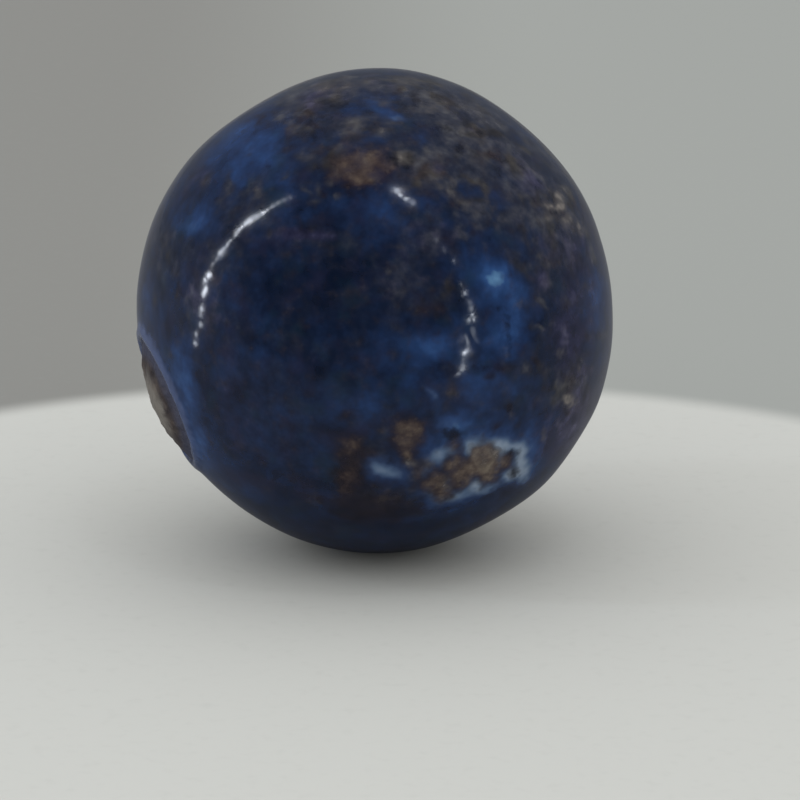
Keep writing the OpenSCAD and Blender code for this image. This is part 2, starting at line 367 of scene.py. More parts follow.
patches = {
    # bare rusty clay showing through; the weaker ones are darker
    "rust": [
        (-1.0, -5.45, 0.5, 0.42, 10, 0.56), (-1.1, -6.5, 0.32, 0.38, 0, 0.56),
        (-1.2, -7.1, 0.34, 0.34, 0, 0.5), (1.35, -4.95, 0.7, 0.7, 20, 0.64), (1.1, -4.6, 0.36, 0.36, 0, 0.7),
        (1.3, -5.75, 0.3, 0.3, 0, 0.75), (1.8, -6.5, 0.28, 0.35, 0, 0.55),
        (3.2, -5.35, 0.32, 0.34, -10, 0.62), (3.3, -6.3, 0.56, 0.56, 0, 0.76),
        (3.5, -6.8, 0.44, 0.4, 0, 0.72), (3.9, -6.25, 0.44, 0.4, 0, 0.86), (4.4, -6.0, 0.62, 0.64, -10, 1.0),
        (4.5, -6.7, 0.34, 0.32, 0, 0.95), (4.45, -5.45, 0.28, 0.24, 0, 0.9),
        (4.75, -5.75, 0.26, 0.26, 0, 0.95), (5.15, -6.0, 0.34, 0.26, 0, 0.85),
        (5.5, -6.3, 0.2, 0.25, 0, 0.65), (2.5, -6.95, 0.52, 0.46, 10, 0.76),
        (2.75, -7.35, 0.34, 0.24, 10, 0.68), (2.1, -7.0, 0.22, 0.24, 0, 0.6),
    ],
    # small light specks of grit
    "fleck": [
        (-2.0, 9.0, 0.3, 0.18, 10, 0.6), (-1.2, 9.1, 0.35, 0.2, 0, 0.55), (-1.6, 8.65, 0.3, 0.16, 20, 0.55),
        (-2.3, 8.4, 0.2, 0.14, 0, 0.5), (-3.4, 7.5, 0.3, 0.2, 0, 0.45), (-0.8, 7.5, 0.5, 0.2, 5, 0.5),
        (0.35, 7.25, 0.16, 0.13, 0, 0.7), (2.2, 8.2, 0.4, 0.26, -10, 0.5), (1.2, 9.3, 0.6, 0.14, -12, 0.66),
        (3.3, 8.5, 0.35, 0.14, -20, 0.45), (3.5, 7.3, 0.26, 0.16, 0, 0.45), (1.1, 6.25, 0.26, 0.18, -30, 0.9),
        (4.1, 8.1, 0.3, 0.16, -25, 0.5), (4.15, 6.8, 0.18, 0.12, 0, 0.65),
        (2.95, 4.75, 0.32, 0.16, -30, 0.78), (3.5, 4.4, 0.42, 0.14, -35, 0.66),
        (-4.75, 5.0, 0.2, 0.3, 30, 0.45), (7.5, 4.6, 0.18, 0.26, 0, 1.05), (7.1, 4.3, 0.24, 0.18, 0, 0.8),
        (7.45, 4.2, 0.2, 0.2, 0, 1.0), (6.95, 3.8, 0.26, 0.18, 20, 0.8), (7.7, 3.65, 0.26, 0.18, 0, 0.78),
        (8.3, 3.4, 0.16, 0.3, 25, 0.8), (7.95, 3.85, 0.22, 0.1, 10, 0.6), (6.6, 3.6, 0.16, 0.12, 0, 0.5),
        (7.0, 1.9, 0.16, 0.14, 0, 0.5), (7.6, 0.4, 0.18, 0.14, 0, 0.5), (7.45, -1.7, 0.18, 0.14, 0, 0.6),
        (7.78, -3.56, 0.2, 0.18, 0, 1.2), (7.7, -3.0, 0.4, 0.22, 20, 0.5), (8.2, -2.3, 0.3, 0.2, 0, 0.44),
        (1.25, -6.1, 0.14, 0.14, 0, 0.8), (1.1, -4.8, 0.12, 0.16, 0, 0.5), (4.35, -6.05, 0.16, 0.18, 0, 0.62),
        (2.65, -6.2, 0.16, 0.14, 0, 0.62), (2.85, -6.9, 0.22, 0.2, 0, 0.66),
        (2.1, -6.15, 0.24, 0.18, 20, 0.66), (0.6, 1.75, 0.16, 0.14, 0, 0.5),
        (4.85, -5.7, 0.22, 0.16, 0, 0.72), (1.5, -6.05, 0.22, 0.16, 0, 0.66),
        (1.5, -6.6, 0.12, 0.14, 0, 0.55), (3.1, -3.2, 0.2, 0.16, 0, 0.55),
    ],
    # small dark dots, cracks and pits
    "dark": [
        (3.5, 6.6, 0.18, 0.18, 0, 0.85), (0.8, 6.15, 0.14, 0.26, 45, 0.95),
        (1.25, 5.95, 0.24, 0.12, -30, 0.8), (4.25, 7.2, 0.3, 0.14, 0, 0.8), (4.7, 7.1, 0.2, 0.14, 0, 0.75),
        (2.7, 8.6, 0.3, 0.14, -20, 0.75), (1.6, 8.6, 0.16, 0.3, 0, 0.7), (2.9, 7.3, 0.5, 0.16, -10, 0.7),
        (3.6, 7.75, 0.35, 0.12, -20, 0.65), (-1.6, 8.3, 0.45, 0.14, 0, 0.75), (-2.5, 7.7, 0.2, 0.24, 0, 0.75),
        (-2.5, 7.0, 0.2, 0.24, 0, 0.7), (4.75, 6.0, 0.16, 0.12, 0, 0.55), (5.2, 6.0, 0.18, 0.12, 0, 0.6),
        (4.8, 5.45, 0.28, 0.16, 0, 0.45), (3.1, 4.95, 0.22, 0.12, 0, 0.5), (7.2, 4.7, 0.14, 0.15, 0, 0.6),
        (7.3, 4.0, 0.16, 0.12, 0, 0.6), (6.7, 1.6, 0.12, 0.28, 0, 0.5), (0.4, 0.75, 0.16, 0.16, 0, 0.6),
        (-2.1, 7.9, 0.5, 0.14, 10, 0.45), (4.85, 0.15, 0.26, 0.1, -20, 0.65),
        (5.2, -0.2, 0.24, 0.1, -60, 0.7), (5.3, -0.7, 0.1, 0.34, 5, 0.7), (5.38, -1.4, 0.1, 0.35, 5, 0.62),
        (3.9, -2.25, 1.2, 0.1, 0, 0.65), (5.0, -2.3, 0.4, 0.14, 0, 0.5), (3.1, -4.98, 0.32, 0.26, 0, 1.0),
        (3.5, -6.9, 0.16, 0.12, 0, 0.5), (5.5, -5.75, 0.22, 0.16, 0, 0.8), (5.6, -6.5, 0.22, 0.18, 0, 0.8),
        (3.1, -3.25, 0.22, 0.16, 0, 0.5), (-5.1, 5.05, 0.22, 0.14, 0, 0.5), (-0.2, -5.7, 0.5, 0.14, 20, 0.45),
        (0.6, -5.9, 0.2, 0.3, 0, 0.45),
    ],
}

# Small lumps and pits thrown over the seen side, most of them on the crown and down the right: how many,
# how far out from the middle in mm, where round it in degrees, their half sizes, and their strengths.
lumps = [
    ("grey", 110, (4.6, 9.3), (12, 128), (0.14, 0.36), (0.2, 0.6)),
    ("grey", 60, (6.0, 9.3), (-48, 14), (0.12, 0.3), (0.2, 0.6)),
    ("grey", 40, (5.5, 9.2), (128, 200), (0.14, 0.34), (0.15, 0.4)),
    ("grey", 50, (1.8, 6.0), (-80, 70), (0.14, 0.34), (0.1, 0.32)),
    ("brown", 40, (4.6, 9.3), (-48, 128), (0.14, 0.32), (0.3, 0.7)),
    ("mauve", 40, (5.0, 9.3), (-60, 128), (0.16, 0.36), (0.2, 0.45)),
    ("tone", 70, (0.0, 9.0), (0, 360), (0.16, 0.38), (-0.2, 0.15)),
    ("dark", 46, (4.6, 9.3), (12, 128), (0.06, 0.12), (0.4, 0.7)),
    ("fleck", 26, (5.2, 9.2), (-40, 110), (0.07, 0.14), (0.45, 0.65)),
]


def spotReach(across, up, spot):  # 0 in a spot's middle, 1 on its edge
    x, y, halfWidth, halfHeight, lean = spot[:5]
    cosine, sine = math.cos(math.radians(lean)), math.sin(math.radians(lean))
    along = ((across - x) * cosine + (up - y) * sine) / halfWidth
    over = ((up - y) * cosine - (across - x) * sine) / halfHeight
    return np.hypot(along, over)


painting = {
    "patchEdge": 0.5,              # mm over which a patch's value goes from 0 outside to 1 inside
    "wobbles": [(0.8, 0.18), (0.3, 0.07)],  # mm of size, and mm that the marks are pushed about
    "seenFrom": (0.02, 0.14),      # how far a point faces the camera, where the seen marks fade in
    "seed": 12,                    # of the lumps and the far side's marks
    "noiseSeed": 1795455575,       # of noise_vector, which changes from run to run without one
    "farFrom": -0.12,              # how far the middle of a mark of the far side may face the camera
    "nearMark": 0.88,              # and how close to the kiln mark's axis it may lie
    # mm past the kiln mark's edge, or the edge of the painted sheen in its middle, where each starts and is
    # full
    "bareFade": (0.06, -0.16),
    "scarFade": (-0.2, -1.3),
    "paintedSheenFade": (0.9, -0.7),
}


def addSpots(values, kind, across, up, spot, weight):
    reach = spotReach(across, up, spot)
    if kind in washes:
        values += spot[5] * np.exp(-reach ** 2) * weight
    else:
        inside = (1 - reach) * min(spot[2], spot[3]) / painting["patchEdge"] + 0.5
        np.maximum(values, np.clip(inside, 0, 1) * spot[5] * weight, out=values)


# The far side has the same kinds of marks, thrown down at random: how many, and the range of half sizes.
farMarks = {
    "tone": (50, 0.5, 1.6), "grey": (40, 0.5, 1.6), "mauve": (14, 0.5, 1.4), "brown": (14, 0.4, 1.1),
    "sienna": (12, 0.3, 0.9), "halo": (0, 0, 0), "rust": (12, 0.2, 0.45), "fleck": (60, 0.10, 0.28),
    "dark": (34, 0.10, 0.28),
}


def paintBall(piece, points, directions, markReach):
    across, up = seenPlaces(points)
    facing = directions @ viewBack
    front = smoothStep(*painting["seenFrom"], facing)
    noise.seed_set(painting["noiseSeed"])
    wobble = sum(
        np.array([noise.noise_vector(Vector(p) / size) for p in points]) * push
        for size, push in painting["wobbles"]
    )
    across = across + wobble[:, 0]
    up = up + wobble[:, 1]

    values = {kind: np.zeros(len(points)) for kind in farMarks}
    for kind, spots in {**washes, **patches}.items():
        for spot in spots:
            addSpots(values[kind], kind, across, up, spot, front)

    draw = random.Random(painting["seed"])
    for kind, count, reach, turn, size, strength in lumps:
        for _ in range(count):
            out = math.sqrt(draw.uniform(reach[0] ** 2, reach[1] ** 2))
            angle = math.radians(draw.uniform(*turn))
            half = draw.uniform(*size)
            spot = (out * math.cos(angle), out * math.sin(angle), half, half * draw.uniform(0.5, 0.9),
                    draw.uniform(0, 180), draw.uniform(*strength))
            addSpots(values[kind], kind, across, up, spot, front)

    def throw(kind, middle, halfWidth, halfHeight, strength):
        aside = np.cross(middle, [0, 0, 1])
        aside = aside / np.linalg.norm(aside)
        spot = (0, 0, halfWidth, halfHeight, draw.uniform(0, 180), strength)
        u = (points + wobble) @ aside
        v = (points + wobble) @ np.cross(aside, middle)
        side = smoothStep(0.0, 0.2, directions @ middle)
        addSpots(values[kind], kind, u, v, spot, side)

    for kind, (count, small, large) in farMarks.items():
        placed = 0
        while placed < count:
            middle = np.array([draw.gauss(0, 1) for _ in range(3)])
            middle = middle / np.linalg.norm(middle)
            if middle @ viewBack > painting["farFrom"] or middle @ markAxis > painting["nearMark"]:
                continue
            placed += 1
            halfWidth = draw.uniform(small, large)
            halfHeight = halfWidth * draw.uniform(0.5, 1)
            strength = draw.uniform(0.7, 1)
            if kind == "tone":
                strength = draw.choice([-0.35, 0.3, 0.5])
            elif kind in washes:
                strength = draw.uniform(0.4, 0.7)
            throw(kind, middle, halfWidth, halfHeight, strength)
            if kind == "rust" and placed % 2:
                throw("halo", middle, halfWidth * 1.8, halfHeight * 1.8, 0.9)

    edge, lip = mark["radius"], mark["lipWidth"]
    values["bare"] = smoothStep(*(edge + past for past in painting["bareFade"]), markReach)
    values["scar"] = smoothStep(*(edge + past for past in painting["scarFade"]), markReach)
    # where the pale painted reflection of the room lies, in the kiln mark's middle
    values["paintedSheen"] = smoothStep(*(mark["paintedSheen"] + past for past in painting["paintedSheenFade"]), markReach)
    crest = edge + lip * mark["lipCrest"]
    # the line along the lip is a painted highlight on the crest of the rolled glaze, brighter towards the
    # mark's upper end as the camera sees it
    height = (directions - markAxis) @ viewUp * ball["waist"] / edge
    values["lip"] = np.exp(-((markReach - crest - 0.03) / (lip * 0.75)) ** 2) * (0.8 + 0.3 * height)
    values["pool"] = np.exp(-np.maximum(markReach - crest, 0) / 0.8) * (1 - values["bare"])
    for kind, value in values.items():
        attribute = piece.data.attributes.new(kind, "FLOAT", "POINT")
        attribute.data.foreach_set("value", value.astype(np.float32))
    print("marks laid on the ball")


# ---- node helpers ----

def rgb(code):  # a colour written as on a screen, made linear
    parts = [int(code[i:i + 2], 16) / 255 for i in (1, 3, 5)]
    return tuple(p / 12.92 if p <= 0.04045 else ((p + 0.055) / 1.055) ** 2.4 for p in parts) + (1,)


def put(socketIn, value):
    if isinstance(value, bpy.types.NodeSocket):
        socketIn.id_data.links.new(value, socketIn)
    else:
        socketIn.default_value = value


def addNode(tree, kind, inputs=None, **settings):
    node = tree.nodes.new(kind)
    for key, value in settings.items():
        setattr(node, key, value)
    for key, value in (inputs or {}).items():
        put(node.inputs[key], value)
    return node


def calculate(tree, operation, first, second=0.0, third=0.0):
    node = addNode(tree, "ShaderNodeMath", {0: first, 1: second, 2: third}, operation=operation)
    return node.outputs[0]


def remap(tree, value, low, high, outLow=0.0, outHigh=1.0, smooth=True):
    node = addNode(tree, "ShaderNodeMapRange", {
        "Value": value, "From Min": low, "From Max": high, "To Min": outLow, "To Max": outHigh,
    }, interpolation_type="SMOOTHSTEP" if smooth else "LINEAR")
    return node.outputs["Result"]


def mixColour(tree, share, under, over):
    node = tree.nodes.new("ShaderNodeMix")
    node.data_type = "RGBA"
    put(node.inputs[0], share)
    put(node.inputs[6], under)
    put(node.inputs[7], over)
    return node.outputs[2]


def ramp(tree, value, stops):
    node = addNode(tree, "ShaderNodeValToRGB", {"Fac": value})
    elements = node.color_ramp.elements
    elements[0].position, elements[0].color = stops[0][0], rgb(stops[0][1])
    elements[1].position, elements[1].color = stops[-1][0], rgb(stops[-1][1])
    for place, code in stops[1:-1]:
        elements.new(place).color = rgb(code)
    return node.outputs["Color"]


def newGroup(name, inputs, outputs):
    tree = bpy.data.node_groups.new(name, "ShaderNodeTree")
    for label, kind, default in inputs:
        socket = tree.interface.new_socket(label, in_out="INPUT", socket_type=kind)
        if default is not None:
            socket.default_value = default
    for label, kind in outputs:
        tree.interface.new_socket(label, in_out="OUTPUT", socket_type=kind)
    return tree, tree.nodes.new("NodeGroupInput").outputs, tree.nodes.new("NodeGroupOutput").inputs


def useGroup(tree, group, inputs):
    node = addNode(tree, "ShaderNodeGroup", node_tree=group)
    for key, value in inputs.items():
        put(node.inputs[key], value)
    return node.outputs


def newMaterial(name):
    material = bpy.data.materials.new(name)
    material.use_nodes = True
    return material, material.node_tree, material.node_tree.nodes["Principled BSDF"]


def placeInMm(tree):
    metres = addNode(tree, "ShaderNodeTexCoord").outputs["Object"]
    return addNode(tree, "ShaderNodeVectorMath", {0: metres, "Scale": 1 / mm}, operation="SCALE").outputs[0]


# ---- shared effects ----

vectorKind, floatKind, colourKind = "NodeSocketVector", "NodeSocketFloat", "NodeSocketColor"


def makeCloud():  # soft mottling around 0, with features of one size in mm
    tree, given, result = newGroup(
        "cloud",
        [("Place", vectorKind, None), ("Size", floatKind, 1.0), ("Detail", floatKind, 3.0),
         ("Shift", floatKind, 0.0)],
        [("Value", floatKind)],
    )
    moved = addNode(tree, "ShaderNodeVectorMath", {0: given["Place"], 1: given["Shift"]}, operation="ADD")
    scale = calculate(tree, "DIVIDE", 1.0, given["Size"])
    cells = addNode(tree, "ShaderNodeTexNoise", {
        "Vector": moved.outputs[0], "Scale": scale, "Detail": given["Detail"], "Roughness": 0.55,
    })
    centred = calculate(tree, "SUBTRACT", cells.outputs["Fac"], 0.5)
    put(result["Value"], calculate(tree, "MULTIPLY", centred, 2.0))
    return tree


def makeSpeckle(cloud):  # scattered dots: only a share of the cells holds one
    tree, given, result = newGroup(
        "speckle",
        [("Place", vectorKind, None), ("Size", floatKind, 0.3), ("Share", floatKind, 0.2),
         ("Shift", floatKind, 0.0)],
        [("Mask", floatKind)],
    )
    moved = addNode(tree, "ShaderNodeVectorMath", {0: given["Place"], 1: given["Shift"]}, operation="ADD")
    scale = calculate(tree, "DIVIDE", 1.0, given["Size"])
    cells = addNode(tree, "ShaderNodeTexVoronoi", {"Vector": moved.outputs[0], "Scale": scale})
    luck = addNode(tree, "ShaderNodeSeparateColor", {"Color": cells.outputs["Color"]}).outputs["Red"]
    chosen = calculate(tree, "LESS_THAN", luck, given["Share"])
    wobble = useGroup(tree, cloud, {"Place": given["Place"], "Size": 0.15, "Detail": 1.0})["Value"]
    reach = calculate(tree, "MULTIPLY_ADD", wobble, 0.35, cells.outputs["Distance"])
    dot = remap(tree, reach, 0.45, 0.2)
    put(result["Mask"], calculate(tree, "MULTIPLY", dot, chosen))
    return tree


def makePatch(cloud):  # a patch's value made a mask with a ragged edge
    tree, given, result = newGroup(
        "patch",
        [("Place", vectorKind, None), ("Value", floatKind, 0.0), ("Size", floatKind, 0.3),
         ("Ragged", floatKind, 0.3), ("Edge", floatKind, 0.5), ("Soft", floatKind, 0.15)],
        [("Mask", floatKind)],
    )
    wobble = useGroup(tree, cloud, {"Place": given["Place"], "Size": given["Size"], "Detail": 2.0,
                                    "Shift": 3.0})["Value"]
    value = calculate(tree, "MULTIPLY_ADD", wobble, given["Ragged"], given["Value"])
    low = calculate(tree, "SUBTRACT", given["Edge"], given["Soft"])
    high = calculate(tree, "ADD", given["Edge"], given["Soft"])
    put(result["Mask"], remap(tree, value, low, high))
    return tree


fired = {
    "shades": [(0.0, "#18151a"), (0.3, "#2c2325"), (0.5, "#433733"), (0.72, "#5e5147"), (1.0, "#7e7364")],
    "grit": "#857766",
}


def makeFiredClay(cloud, speckle):  # rusty brown clay with grit in it
    tree, given, result = newGroup(
        "firedClay",
        [("Place", vectorKind, None), ("Shade", floatKind, 0.0)],
        [("Colour", colourKind)],
    )
    place = given["Place"]
    broad = useGroup(tree, cloud, {"Place": place, "Size": 0.6, "Detail": 3.0, "Shift": 11.0})["Value"]
    fine = useGroup(tree, cloud, {"Place": place, "Size": 0.16, "Detail": 3.0, "Shift": 5.0})["Value"]
    shade = calculate(tree, "MULTIPLY_ADD", broad, 0.50, given["Shade"])
    shade = calculate(tree, "MULTIPLY_ADD", fine, 0.14, shade)
    colour = ramp(tree, calculate(tree, "ADD", shade, 0.5), fired["shades"])
    grit = useGroup(tree, speckle, {"Place": place, "Size": 0.22, "Share": 0.14, "Shift": 7.0})["Mask"]
    colour = mixColour(tree, calculate(tree, "MULTIPLY", grit, 0.12), colour, rgb(fired["grit"]))
    put(result["Colour"], colour)
    return tree


cloud = makeCloud()
speckle = makeSpeckle(cloud)
patch = makePatch(cloud)
firedClay = makeFiredClay(cloud, speckle)
print("shared effects made")

# ---- the glazed clay ----

glaze = {
    "blues": [
        (0.0, "#091428"), (0.18, "#111d35"), (0.36, "#192b4c"), (0.54, "#213a64"), (0.72, "#2e4e80"),
        (1.0, "#6c9abf"),
    ],
    "baseTone": 0.33,
    "violet": "#25243a",
    "teal": "#1b3040",
    "greys": [(0.0, "#151926"), (0.35, "#262b39"), (0.6, "#3a3c45"), (1.0, "#5a5a5c")],
    "olives": [(0.0, "#19191d"), (0.5, "#312e2a"), (1.0, "#504a41")],
    "baseGrey": 0.14,
    # violet shades; the lighter ones also colour the painted reflection along the outline
    "mauves": [(0.0, "#17172a"), (0.4, "#2c2c46"), (0.7, "#464462"), (1.0, "#62607c")],
    "browns": [(0.0, "#121019"), (0.5, "#221b21"), (1.0, "#382f2b")],
    "halos": [(0.0, "#1f3054"), (0.3, "#364a70"), (0.6, "#566b89"), (1.0, "#8797ab")],
    "flecks": [(0.0, "#403e3f"), (0.5, "#615d5b"), (1.0, "#948c84")],
    "tan": "#4a3c30",
    "deep": "#0b0e1a",
    "rim": "#1b1828",
    # lavender line along the kiln mark's lip: a painted highlight
    "lip": "#566284",
    # violet-grey along the edge of the kiln mark's bare clay
    "bareEdge": "#42455a",
    "markClay": "#434047",
    # pale grey painted reflection of the room, in the middle of the kiln mark where it meets the outline
    "paintedSheen": "#8a857d",
    # ragged edge of each kind of mark: size of its tatters in mm, how ragged, the value in its middle,
    # half its softness, and how much of what lies under it the mark covers
    "edges": {
        "grey": (0.9, 0.65, 0.46, 0.44, 0.85), "mauve": (0.8, 0.6, 0.46, 0.42, 0.7),
        "brown": (0.7, 0.5, 0.46, 0.40, 0.8), "sienna": (0.7, 0.5, 0.45, 0.42, 0.82),
        "rust": (0.45, 0.5, 0.42, 0.44, 0.88), "fleck": (0.25, 0.30, 0.48, 0.44, 0.85),
        "dark": (0.2, 0.30, 0.45, 0.30, 0.8), "bare": (0.3, 0.3, 0.5, 0.35, 1.0),
        "paintedSheen": (0.5, 0.45, 0.52, 0.50, 0.8),
    },
    "toneNoise": (0.22, 0.34, 0.14, 0.04),  # of the broad, middling, small and finest mottling
    "index": 1.5,
    "gloss": 0.10,                 # roughness of the glass
    "clayGloss": 0.6,
    "skinDepth": 0.000003,         # m of relief in the glaze
}


def makeGlazedClay():
    material, tree, shader = newMaterial("glazedClay")
    place = placeInMm(tree)

    def mottle(size, detail, shift):
        return useGroup(tree, cloud, {
            "Place": place, "Size": size, "Detail": detail, "Shift": shift,
        })["Value"]

    def kind(name):
        return addNode(tree, "ShaderNodeAttribute", attribute_name=name).outputs["Fac"]

    def patchOf(name, value=None):
        size, ragged, edge, soft, _ = glaze["edges"][name]
        return useGroup(tree, patch, {
            "Place": place, "Value": value or kind(name), "Size": size, "Ragged": ragged, "Edge": edge,
            "Soft": soft,
        })["Mask"]

    def share(mask, most):
        return calculate(tree, "MULTIPLY", mask, most)

    def plus(value, part, weight):
        return calculate(tree, "MULTIPLY_ADD", part, weight, value)

    def lay(under, name, mask, over):
        return mixColour(tree, share(mask, glaze["edges"][name][4]), under, over)

    broad, middling = mottle(2.4, 2, 0), mottle(0.9, 2, 20)
    small, grain = mottle(0.40, 1, 40), mottle(0.14, 1, 60)

    # blue glass over everything, pooled thicker round the kiln mark
    tone = calculate(tree, "ADD", kind("tone"), glaze["baseTone"])
    tone = plus(tone, kind("pool"), 0.34)
    for part, weight in zip((broad, middling, small, grain), glaze["toneNoise"]):
        tone = plus(tone, part, weight)
    colour = ramp(tree, share(tone, 0.73), glaze["blues"])
    hue = mottle(1.4, 2, 90)
    violet = remap(tree, kind("tone"), 0.0, 0.4, 0.5, 0.1)
    violet = calculate(tree, "MULTIPLY", remap(tree, hue, 0.0, 0.5), violet)
    colour = mixColour(tree, violet, colour, rgb(glaze["violet"]))
    colour = mixColour(tree, remap(tree, hue, -0.1, -0.5, 0.0, 0.35), colour, rgb(glaze["teal"]))

    # grey clouds, olive in places
    level = remap(tree, kind("grey"), 0.0, 0.8, 0.24, 0.52, smooth=False)
    shade = plus(level, mottle(0.9, 2, 120), 0.58)
    shade = plus(shade, mottle(0.5, 1, 230), 0.38)
    shade = plus(shade, grain, 0.12)
    olive = remap(tree, mottle(1.1, 2, 200), -0.05, 0.40, 0.0, 0.9)
    cloudy = mixColour(tree, olive, ramp(tree, shade, glaze["greys"]), ramp(tree, shade, glaze["olives"]))
    level = remap(tree, kind("tone"), 0.1, 0.5, glaze["baseGrey"], -0.3)
    greyMask = patchOf("grey", calculate(tree, "ADD", kind("grey"), level))
    colour = lay(colour, "grey", greyMask, cloudy)
    colour = lay(colour, "mauve", patchOf("mauve"), ramp(tree, shade, glaze["mauves"]))
    colour = lay(colour, "brown", patchOf("brown"), ramp(tree, shade, glaze["browns"]))

    # pale blue light in the glass
    haloValue = plus(kind("halo"), small, 0.12)
    haloValue = plus(haloValue, middling, 0.08)
    colour = mixColour(tree, remap(tree, haloValue, 0.0, 0.7), colour, ramp(tree, haloValue, glaze["halos"]))

    # rusty clay under thin glass: darkest along its edge
    siennaMask = patchOf("sienna")
    rustValue = kind("rust")
    rustMask = patchOf("rust", rustValue)
    thin = calculate(tree, "MAXIMUM", rustValue, share(kind("sienna"), 0.85))
    clay = useGroup(tree, firedClay, {
        "Place": place, "Shade": remap(tree, thin, 0.3, 1.0, -0.17, 0.30, smooth=False),
    })
    soft = remap(tree, kind("sienna"), 0.6, 1.0, 0.0, 0.65)
    rusty = mixColour(tree, soft, clay["Colour"], rgb(glaze["tan"]))
    colour = lay(colour, "sienna", siennaMask, rusty)
    rim = remap(tree, plus(rustValue, small, 0.3), 0.05, 0.35, 0.0, 0.28)
    colour = mixColour(tree, rim, colour, rgb(glaze["rim"]))
    colour = lay(colour, "rust", rustMask, clay["Colour"])

    fleckMask = patchOf("fleck")
    level = remap(tree, kind("fleck"), 0.2, 0.8, 0.15, 0.75)
    fleckShade = plus(level, small, 0.5)
    colour = lay(colour, "fleck", fleckMask, ramp(tree, fleckShade, glaze["flecks"]))
    colour = lay(colour, "dark", patchOf("dark"), rgb(glaze["deep"]))

    # painted highlight along the crest of the lip
    lip = plus(kind("lip"), small, 0.3)
    colour = mixColour(tree, remap(tree, lip, 0.15, 1.0, 0.0, 0.8), colour, rgb(glaze["lip"]))

    # bare clay of the kiln mark, violet-grey along its edge, with a pale painted reflection of the room in
    # the middle
    bareMask = patchOf("bare")
    bareClay = useGroup(tree, firedClay, {"Place": place, "Shade": 0.0})["Colour"]
    bareClay = mixColour(tree, 0.15, bareClay, rgb(glaze["markClay"]))
    # violet-grey along the mark's edge, fading into the clay towards its middle
    bareClay = mixColour(tree, remap(tree, kind("scar"), 0.0, 0.8), rgb(glaze["bareEdge"]), bareClay)
    # pale painted reflection of the room over the mark's middle
    bareClay = lay(bareClay, "paintedSheen", patchOf("paintedSheen"), rgb(glaze["paintedSheen"]))
    colour = lay(colour, "bare", bareMask, bareClay)
    put(shader.inputs["Base Color"], colour)

    gloss = plus(glaze["gloss"], middling, 0.04)
    gloss = plus(gloss, rustMask, 0.12)
    gloss = plus(gloss, fleckMask, 0.15)
    gloss = remap(tree, bareMask, 0.0, 1.0, gloss, glaze["clayGloss"], smooth=False)
    put(shader.inputs["Roughness"], gloss)
    shader.inputs["IOR"].default_value = glaze["index"]

    skin = plus(mottle(0.7, 1, 150), kind("fleck"), 1.2)
    skin = plus(skin, kind("dark"), -1.2)
    rough = calculate(tree, "MULTIPLY", mottle(0.2, 3, 170), kind("bare"))
    skin = plus(skin, rough, 8.0)
    bump = addNode(tree, "ShaderNodeBump", {
        "Height": skin, "Distance": glaze["skinDepth"], "Strength": 1.0,
    })
    put(shader.inputs["Normal"], bump.outputs["Normal"])
    return material


marble, ballPoints, ballDirections, markOut = makeBall()
paintBall(marble, ballPoints, ballDirections, markOut)
marble.data.materials.append(makeGlazedClay())
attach(marble, "root")
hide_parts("marble")
print("marble glazed")

# ---- the table ----

table = {
    "radius": 32,                  # mm, of the pale round top
    "forward": 8,                  # mm that the top's middle lies in front of the ball
    "edge": 1.2,                   # mm over which it fades into the ground
    "reach": 1500,                 # mm, of the ground
    "pale": "#c9cac5",
    "groundLeft": "#8b8b87",
    "groundRight": "#a0a39f",
    "acrossGround": (-14, 10),     # mm from left to right over which the ground's colour changes
    "dust": "#9a9a96",
    "inGloss": "#6e6f72",          # what the gloss shows of the table, and of its part near the camera
    "darkInGloss": "#3c3c3e",
    "towardsCamera": (-10, -45),   # mm over which that part starts
    "roughness": 0.9,
}


def makeTable():
    bm = bmesh.new()
    bmesh.ops.create_circle(bm, cap_ends=True, segments=128, radius=table["reach"] * mm)
    bmesh.ops.translate(bm, verts=bm.verts, vec=(0, 0, cadLow[2]))
    mesh = bpy.data.meshes.new("table")
    bm.to_mesh(mesh)
    bm.free()
    material, tree, shader = newMaterial("paleTop")
    place = placeInMm(tree)
    middle = (0, -table["forward"], cadLow[2] / mm)
    away = addNode(tree, "ShaderNodeVectorMath", {0: place, 1: middle}, operation="DISTANCE").outputs["Value"]
    parts = addNode(tree, "ShaderNodeSeparateXYZ", {0: place}).outputs
    right = remap(tree, parts["X"], *table["acrossGround"])
    ground = mixColour(tree, right, rgb(table["groundLeft"]), rgb(table["groundRight"]))
    outside = remap(tree, away, table["radius"] - table["edge"], table["radius"] + table["edge"])
    colour = mixColour(tree, outside, rgb(table["pale"]), ground)
    dust = useGroup(tree, cloud, {"Place": place, "Size": 0.6, "Detail": 1.0})["Value"]
    colour = mixColour(tree, remap(tree, dust, 0.0, 0.9, 0.0, 0.10), colour, rgb(table["dust"]))
    nearCamera = remap(tree, parts["Y"], *table["towardsCamera"])
    shown = mixColour(tree, nearCamera, rgb(table["inGloss"]), rgb(table["darkInGloss"]))
    colour = mixColour(tree, addNode(tree, "ShaderNodeLightPath").outputs["Is Glossy Ray"], colour, shown)
    put(shader.inputs["Base Color"], colour)
    shader.inputs["Roughness"].default_value = table["roughness"]
    mesh.materials.append(material)
    addObject("table", mesh)


makeTable()
print("table laid")

# ---- light ----

